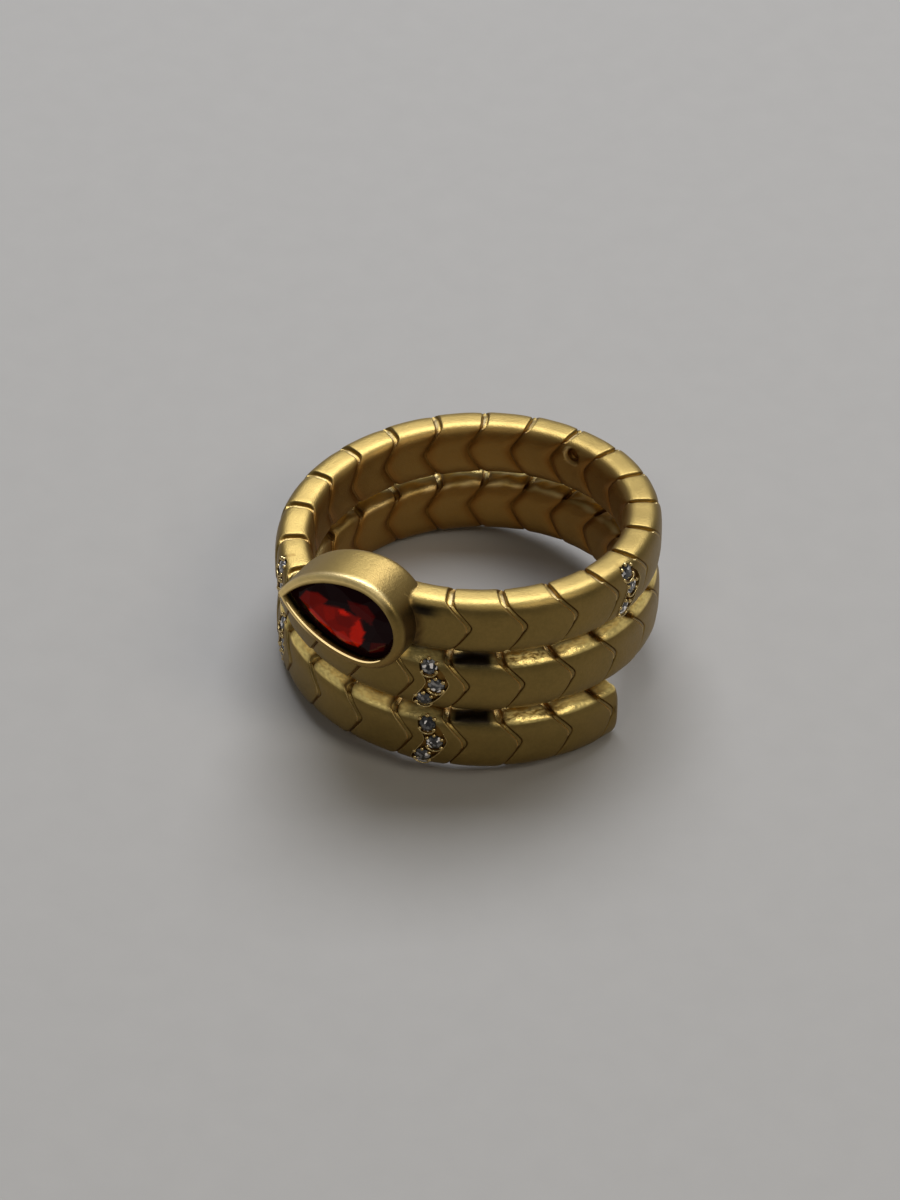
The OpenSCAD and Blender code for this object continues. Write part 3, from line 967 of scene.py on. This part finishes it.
def gold_tone(net, finish, cloud, speck):
    """Colour of the metal: gold with painted light, full on the faces turned up and a shaded copy on the
    sides, with each mark of wear, finish, painted shade and painted highlight laid over the one before.
    """
    # Painted shade on the sides and painted light on the faces turned up
    shaded_side_gold = tuple(c * finish.side_shade for c in finish.gold)
    tone = net.mix(net.attribute("rubbed"), shaded_side_gold, tuple(finish.gold))
    layers = (
        # Painted shade inside the ring
        (net.attribute("inside") * 0.75, finish.inner_shade_gold),
        (net.ramp(cloud + 0.9 * (speck - 0.5), 0.2, 1.1) * 0.5, finish.wear_and_shade_gold),
        (net.attribute("cast") * 0.35, finish.cast_gold),
        # Painted shade on the head's side
        (net.attribute("head_side") * 0.75, finish.wear_and_shade_gold),
        # Painted highlights
        (net.attribute("polish") * 0.85, finish.highlight_gold),
        (net.attribute("hammer"), finish.cast_gold),
        # Painted shade in the valleys, the grooves' roots and the pit
        (net.attribute("valley") * 0.7, finish.valley_gold),
        (net.attribute("groove") * 0.85, finish.groove_gold),
        (net.attribute("field") * 0.9, finish.groove_gold),
        # Painted highlight along the grooves' lips
        (net.attribute("glint"), finish.bead_and_highlight_gold),
        # Painted shade on the shoulders and beside the head, and the dark joint behind the head
        (net.attribute("stain") * net.ramp(speck, 0.0, 0.3), finish.stain),
        # Painted shade in the seat
        (net.attribute("seat"), SEAT_SHADE),
    )
    for share, colour in layers:
        tone = net.mix(share, tone, tuple(colour))
    return tone


def painted_glow(net, finish):
    """Painted glow: emission on the hammered flecks under a row, the head's upper rim and the pit's edge,
    standing in for the light they catch.
    """
    flecks = net.ramp(net.noise(0.12, 2.0, 0.6, net.attribute("unrolled", "Vector")), 0.4, 0.6)
    depth = 0.4 + 0.55 * net.attribute("fleck")
    return net.mix(net.attribute("lit") * (1 - depth * (1 - flecks)), (0, 0, 0), tuple(finish.lit_gold))


def gold_material(finish):
    """Satin gold plating, browner in the grooves, with painted shade inside and on the sides, hammered
    between the rows with painted dark reflections and a painted glow there, and painted highlights.
    """
    net = Net("satin_gold")
    cast, hammer, stain = net.attribute("cast"), net.attribute("hammer"), net.attribute("stain")
    cloud = net.noise(1.6, 3.0)
    grain = net.noise(0.09, 3.0, 0.6)
    speck = net.noise(0.2, 2.0, 0.7)
    dents = net.cells(0.3, "Distance")
    rough = finish.satin + 0.1 * (cloud - 0.5) + 0.16 * (grain - 0.5) - 0.12 * (hammer + stain)
    height = grain * 0.015 + speck * 0.008 + (0.15 * cast + hammer) * dents * 0.022
    bump = net.node("ShaderNodeBump", None, {"Strength": 1.0, "Distance": MM, "Height": height})
    shader = net.node(
        "ShaderNodeBsdfPrincipled",
        None,
        {
            "Base Color": gold_tone(net, finish, cloud, speck),
            "Metallic": 1.0,
            "Roughness": rough,
            "Normal": bump,
            # Painted glow
            "Emission Color": painted_glow(net, finish),
            "Emission Strength": 0.45,
        },
    )
    return net.finish(shader)


def bead_material(finish):
    """Bright gold of the burnished beads, with a painted glow that makes the bezel's lower lip the brightest.
    """
    net = Net("bead_and_highlight_gold")
    cloud = net.noise(0.3, 2.0)
    tone = net.mix(cloud, tuple(finish.bead_and_highlight_gold), tuple(finish.gold))
    # Painted glow along the bezel's lower lip, standing for its highlight
    light = net.mix(net.attribute("lip"), (0, 0, 0), tuple(finish.bead_and_highlight_gold))
    shader = net.node(
        "ShaderNodeBsdfPrincipled",
        None,
        {
            "Base Color": tone,
            "Metallic": 1.0,
            "Roughness": 0.2 + 0.1 * cloud,
            "Emission Color": light,
            "Emission Strength": 1.0,
        },
    )
    return net.finish(shader)


def red_material(finish):
    """Deep red cut stone: near black, with a painted pattern of the light that its inner facets send back,
    and a painted glow.
    """
    net = Net("red_stone")
    cloud = net.noise(0.5, 3.0)
    glow = net.attribute("fire") * (0.85 + 0.3 * cloud)
    red = tuple(finish.red_stone)
    stops = ((0.0, (0.001, 0.0007, 0.001)), (0.3, tuple(c * 0.22 for c in red)), (1.0, red))
    tone = net.node("ShaderNodeValToRGB", {"stops": stops}, {"Fac": glow})
    shader = net.node(
        "ShaderNodeBsdfPrincipled",
        None,
        {
            "Base Color": tone,
            "Roughness": 0.05,
            "IOR": 1.4,
            "Specular IOR Level": 0.1,
            # Painted glow in the stone's own colours
            "Emission Color": tone,
            "Emission Strength": 0.4,
        },
    )
    return net.finish(shader)


def clear_material(finish):
    """Small clear stones: painted dark and bright reflections of inner facets, with a faint painted glow,
    under a glossy top.
    """
    net = Net("clear_stone")
    # Painted reflections: random dark and bright cells stand for the inner facets, with a faint painted glow
    pick = net.node("ShaderNodeSeparateColor", None, {"Color": net.cells(0.17, "Color")})
    clear = tuple(finish.clear_stone)
    stops = (
        (0.0, (0.012, 0.011, 0.01)),
        (0.55, tuple(c * 0.025 for c in clear)),
        (0.7, tuple(c * 0.09 for c in clear)),
        (0.86, tuple(c * 0.25 for c in clear)),
        (0.9, clear),
    )
    tone = net.node("ShaderNodeValToRGB", {"stops": stops}, {"Fac": pick})
    shader = net.node(
        "ShaderNodeBsdfPrincipled",
        None,
        {"Base Color": tone, "Roughness": 0.06, "IOR": 1.7, "Emission Color": tone, "Emission Strength": 0.1},
    )
    return net.finish(shader)


def floor_material(stage):
    """Plain pale floor with a faint mottle."""
    net = Net("pale_floor")
    cloud = net.noise(2.0, 4.0)
    tone = net.mix(cloud, tuple(stage.floor), tuple(c * 0.94 for c in stage.floor))
    shader = net.node("ShaderNodeBsdfPrincipled", None, {"Base Color": tone, "Roughness": 0.85})
    return net.finish(shader)


# Settings


class RingFinish(PropertyGroup):
    """Colours and finish of the ring."""

    gold: FloatVectorProperty(
        name="Gold",
        description="Colour of the satin gold",
        default=(0.5, 0.335, 0.095),
        subtype="COLOR",
        min=0,
        max=1,
    )
    # Colour of the beads, and also of the painted highlights along the grooves and the painted glow on the
    # bezel's lower lip
    bead_and_highlight_gold: FloatVectorProperty(
        name="Bright edges",
        description="Colour of the beads and of the edges that wear has polished",
        default=(0.9, 0.68, 0.32),
        subtype="COLOR",
        min=0,
        max=1,
    )
    # Colour of the painted highlights on the head's upper rim, the pit's edge and the inner shoulders
    highlight_gold: FloatVectorProperty(
        name="Polished rim",
        description="Colour of the head's upper rim and of the worn inner shoulders",
        default=(0.95, 0.7, 0.3),
        subtype="COLOR",
        min=0,
        max=1,
    )
    # Colour of the painted glow
    lit_gold: FloatVectorProperty(
        name="Lit flecks",
        description="Colour of the light that the hammered flecks and the head's upper rim send on",
        default=(0.8, 0.6, 0.2),
        subtype="COLOR",
        min=0,
        max=1,
    )
    # Colour of real worn patches, and also of the painted shade on the head's side
    wear_and_shade_gold: FloatVectorProperty(
        name="Worn patches",
        description="Colour of the soft darker patches in the satin",
        default=(0.4, 0.255, 0.075),
        subtype="COLOR",
        min=0,
        max=1,
    )
    # Colour of the painted shade in the valleys, the grooves' roots and the pit
    valley_gold: FloatVectorProperty(
        name="Valleys",
        description="Colour of the soft valleys between the scales inside the ring",
        default=(0.3, 0.12, 0.018),
        subtype="COLOR",
        min=0,
        max=1,
    )
    groove_gold: FloatVectorProperty(
        name="Groove",
        description="Colour of the gold in the grooves",
        default=(0.2, 0.1, 0.02),
        subtype="COLOR",
        min=0,
        max=1,
    )
    cast_gold: FloatVectorProperty(
        name="As cast",
        description="Colour of the unpolished sides between the rows",
        default=(0.8, 0.59, 0.2),
        subtype="COLOR",
        min=0,
        max=1,
    )
    # Painted shade: colour of the gold inside the ring, on the inner shoulders under a row and on the head's
    # lower rim
    inner_shade_gold: FloatVectorProperty(
        name="Inside",
        description="Colour of the gold inside the ring",
        default=(0.4, 0.21, 0.048),
        subtype="COLOR",
        min=0,
        max=1,
    )
    # Colour of the painted shade on the shoulders and beside the head, and of the dark joint behind the head
    stain: FloatVectorProperty(
        name="Stain",
        description="Colour of the dark stain between the rows",
        default=(0.025, 0.018, 0.011),
        subtype="COLOR",
        min=0,
        max=1,
    )
    red_stone: FloatVectorProperty(
        name="Red stone",
        description="Colour of the pear-cut stone at its brightest",
        default=(0.5, 0.009, 0.0015),
        subtype="COLOR",
        min=0,
        max=1,
    )
    clear_stone: FloatVectorProperty(
        name="Clear stones",
        description="Colour of the small stones",
        default=(0.95, 0.88, 0.8),
        subtype="COLOR",
        min=0,
        max=1,
    )
    # Painted shade: how dark the shaded copy of the gold on the band's sides is
    side_shade: FloatProperty(
        name="Side shade",
        description="Brightness of the gold on the band's sides against its rubbed top",
        default=0.47,
        subtype="FACTOR",
        min=0,
        max=1,
    )
    satin: FloatProperty(
        name="Satin",
        description="Roughness of the gold",
        default=0.44,
        subtype="FACTOR",
        min=0,
        max=1,
    )
    bead_r: FloatProperty(
        name="Bead",
        description="Radius of the beads that hold the small stones",
        default=0.12 * MM,
        unit="LENGTH",
    )


class StageLook(PropertyGroup):
    """Floor, lights and camera."""

    floor: FloatVectorProperty(
        name="Floor",
        description="Colour of the floor",
        default=(0.43, 0.385, 0.31),
        subtype="COLOR",
        min=0,
        max=1,
    )
    key_power: FloatProperty(
        name="Key light",
        description="Power of the large light behind the ring",
        default=3.5,
        unit="POWER",
        min=0,
    )
    side_power: FloatProperty(
        name="Side light",
        description="Power of the small light on the right",
        default=0.5,
        unit="POWER",
        min=0,
    )
    front_power: FloatProperty(
        name="Front light",
        description="Power of the small light in front",
        default=0.15,
        unit="POWER",
        min=0,
    )
    sky: FloatProperty(
        name="Room light",
        description="Strength of the even light from all round",
        default=0.12,
        min=0,
    )


# The stage and the camera

FLOOR_DROP = 0.02 * MM
RING_MIDDLE = (0, 0, 0.006)

# The camera as fitted to the photo, in the ring's own frame: its rise and roll in radians, its
# distance and aim in millimetres, and its focal length in pixels of the photo
CAMERA_RISE = 0.65358
CAMERA_ROLL = 0.003432
CAMERA_AWAY = 225.19
CAMERA_AIM = (-0.978, 0, -5.968)
FOCAL_PX = 4041.37
PHOTO_HEIGHT_PX = 1200
SENSOR = 36


def area_light(name, place, width, height, power, colour):
    """A rectangular light that faces the ring."""
    light = bpy.data.lights.new(name, "AREA")
    light.shape, light.size, light.size_y = "RECTANGLE", width, height
    light.energy, light.color = power, colour
    obj = bpy.data.objects.new(name, light)
    bpy.context.scene.collection.objects.link(obj)
    obj.location = place
    obj.rotation_euler = (Vector(RING_MIDDLE) - Vector(place)).to_track_quat("-Z", "Y").to_euler()


def room_light(strength):
    """The even light from all round."""
    world = bpy.data.worlds.new("room")
    world.use_nodes = True
    background = world.node_tree.nodes["Background"]
    background.inputs["Color"].default_value = (0.9, 0.94, 1, 1)
    background.inputs["Strength"].default_value = strength
    return world


def photo_camera():
    """The camera at the photo's viewing angle."""
    back = Vector((0, -math.cos(CAMERA_RISE), math.sin(CAMERA_RISE)))
    level = Vector((1, 0, 0))
    upright = back.cross(level)
    c, s = math.cos(CAMERA_ROLL), math.sin(CAMERA_ROLL)
    turn = Matrix((c * level + s * upright, c * upright - s * level, back)).transposed()
    eye = Vector(CAMERA_AIM) + CAMERA_AWAY * back
    down = lay_down()
    camera = bpy.data.objects.new("camera", bpy.data.cameras.new("camera"))
    bpy.context.scene.collection.objects.link(camera)
    camera.data.sensor_width, camera.data.lens = SENSOR, FOCAL_PX / PHOTO_HEIGHT_PX * SENSOR
    camera.data.clip_start, camera.data.clip_end = 0.01, 10
    lean = (down.to_3x3() * (1 / MM)) @ turn
    camera.matrix_world = Matrix.Translation(down @ eye) @ lean.to_4x4()
    return camera


# Operators


class RING_OT_band(Operator):
    """Builds the coiled band with its head, seats and scales"""

    bl_idname = "ring.band"
    bl_label = "Band and head"

    def execute(self, context):
        band = new_object("band", loft(band_points(), "band"))
        head = new_object("head", head_mesh())
        head.data.transform(at_head())
        cut(head, new_object("room", room_mesh()), "DIFFERENCE")
        cut(band, head, "UNION")
        seat = new_object("seat", seat_mesh())
        seat.data.transform(at_head())
        cut(band, seat, "DIFFERENCE")
        for scale in SET_SCALES:
            cut(band, new_object("field", field_mesh(scale)), "DIFFERENCE")
            for along, share in SCALE_SEATS:
                hole = new_object("hole", lathe(HOLE_PROFILE, "hole"))
                hole.data.transform(at_small(scale, along, share))
                cut(band, hole, "DIFFERENCE")
        pit = new_object("pit", lathe(PIT_PROFILE, "pit"))
        pit.data.transform(
            Matrix.Translation((0, 0, coil_z(PIT_ANGLE) + PIT_RISE))
            @ turned(PIT_ANGLE, "Z")
            @ turned(90, "X")
            @ Matrix.Translation((0, 0, FINGER_R))
        )
        cut(band, pit, "DIFFERENCE")
        label(band.data)
        band.data.transform(lay_down())
        band.data.materials.clear()
        band.data.shade_smooth()
        band.data.set_sharp_from_angle(angle=math.radians(SHARP_ANGLE))
        band.data.materials.append(gold_material(context.scene.ring_finish))
        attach(band, "root")
        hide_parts("snake_band")
        return {"FINISHED"}


class RING_OT_stones(Operator):
    """Gives the small clear stones their colour and sharp facets"""

    bl_idname = "ring.stones"
    bl_label = "Small stones"

    def execute(self, context):
        clear = clear_material(context.scene.ring_finish)
        for name, node in frame["nodes"].items():
            if name.startswith("small_stone"):
                node.data.materials.clear()
                node.data.materials.append(clear)
                node.data.shade_flat()
        return {"FINISHED"}


class RING_OT_pear(Operator):
    """Builds the red stone on the facets of the CAD stone, with the painted fire of its inner facets"""

    bl_idname = "ring.pear"
    bl_label = "Red stone"

    def execute(self, context):
        shape = bmesh.new()
        shape.from_mesh(frame["nodes"]["pear_stone"].data)
        bmesh.ops.remove_doubles(shape, verts=shape.verts, dist=0.001 * MM)
        bmesh.ops.subdivide_edges(shape, edges=shape.edges, cuts=FIRE_CUTS, use_grid_fill=True)
        mesh = bpy.data.meshes.new("pear_gem")
        shape.to_mesh(mesh)
        shape.free()
        flat = moved(read_vectors(mesh, "co"), (lay_down() @ at_head()).inverted())
        attribute = mesh.attributes.new("fire", "FLOAT", "POINT")
        attribute.data.foreach_set("value", fire(flat[:, 0], flat[:, 1]).astype(np.float32))
        mesh.materials.append(red_material(context.scene.ring_finish))
        mesh.shade_flat()
        gem = new_object("pear_gem", mesh)
        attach(gem, "root")
        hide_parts("pear_stone")
        return {"FINISHED"}


class RING_OT_beads(Operator):
    """Builds the burnished metal: the beads and ridges round the stones and the field edges, and the lip with
    its painted glow
    """

    bl_idname = "ring.beads"
    bl_label = "Setting beads"

    def execute(self, context):
        finish = context.scene.ring_finish
        mesh = bead_mesh(finish.bead_r / MM)
        mesh.transform(lay_down())
        mesh.shade_smooth()
        mesh.materials.append(bead_material(finish))
        beads = new_object("setting_beads", mesh)
        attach(beads, "root")
        return {"FINISHED"}


class RING_OT_stage(Operator):
    """Lays out the floor, the lights and the camera"""

    bl_idname = "ring.stage"
    bl_label = "Floor, lights and camera"

    def execute(self, context):
        scene, look = context.scene, context.scene.ring_stage
        mesh = bpy.data.meshes.new("floor")
        mesh.from_pydata([(-1, -1, 0), (1, -1, 0), (1, 1, 0), (-1, 1, 0)], [], [(0, 1, 2, 3)])
        floor = new_object("floor", mesh)
        floor.location.z = -FLOOR_DROP
        mesh.materials.append(floor_material(look))
        area_light("key", (0.0, 0.3, 0.5), 0.46, 0.36, look.key_power, (0.9, 1, 1.25))
        area_light("front", (-0.16, -0.3, 0.43), 0.08, 0.08, look.front_power, (1, 1, 1.05))
        area_light("side", (0.3, -0.2, 0.4), 0.2, 0.2, look.side_power, (1, 0.98, 0.95))
        scene.world = room_light(look.sky)
        scene.camera = photo_camera()
        scene.view_settings.view_transform = "Standard"
        return {"FINISHED"}


class RING_PT_panel(Panel):
    """Lists the ring's steps and settings"""

    bl_idname = "RING_PT_panel"
    bl_label = "Snake wrap ring"
    bl_space_type = "VIEW_3D"
    bl_region_type = "UI"
    bl_category = "Ring"

    def draw(self, context):
        for step in STEPS:
            self.layout.operator(step.bl_idname)
        for settings in (context.scene.ring_finish, context.scene.ring_stage):
            for name in settings.__annotations__:
                self.layout.prop(settings, name)


STEPS = (RING_OT_band, RING_OT_pear, RING_OT_stones, RING_OT_beads, RING_OT_stage)
CLASSES = (RingFinish, StageLook, *STEPS, RING_PT_panel)


def register():
    for item in CLASSES:
        bpy.utils.register_class(item)
    bpy.types.Scene.ring_finish = PointerProperty(type=RingFinish)
    bpy.types.Scene.ring_stage = PointerProperty(type=StageLook)


def unregister():
    del bpy.types.Scene.ring_stage
    del bpy.types.Scene.ring_finish
    for item in reversed(CLASSES):
        bpy.utils.unregister_class(item)


def main():
    """Builds the ring and the stage."""
    register()
    bpy.ops.ring.band()
    bpy.ops.ring.pear()
    bpy.ops.ring.stones()
    bpy.ops.ring.beads()
    bpy.ops.ring.stage()


if __name__ == "__main__":
    main()
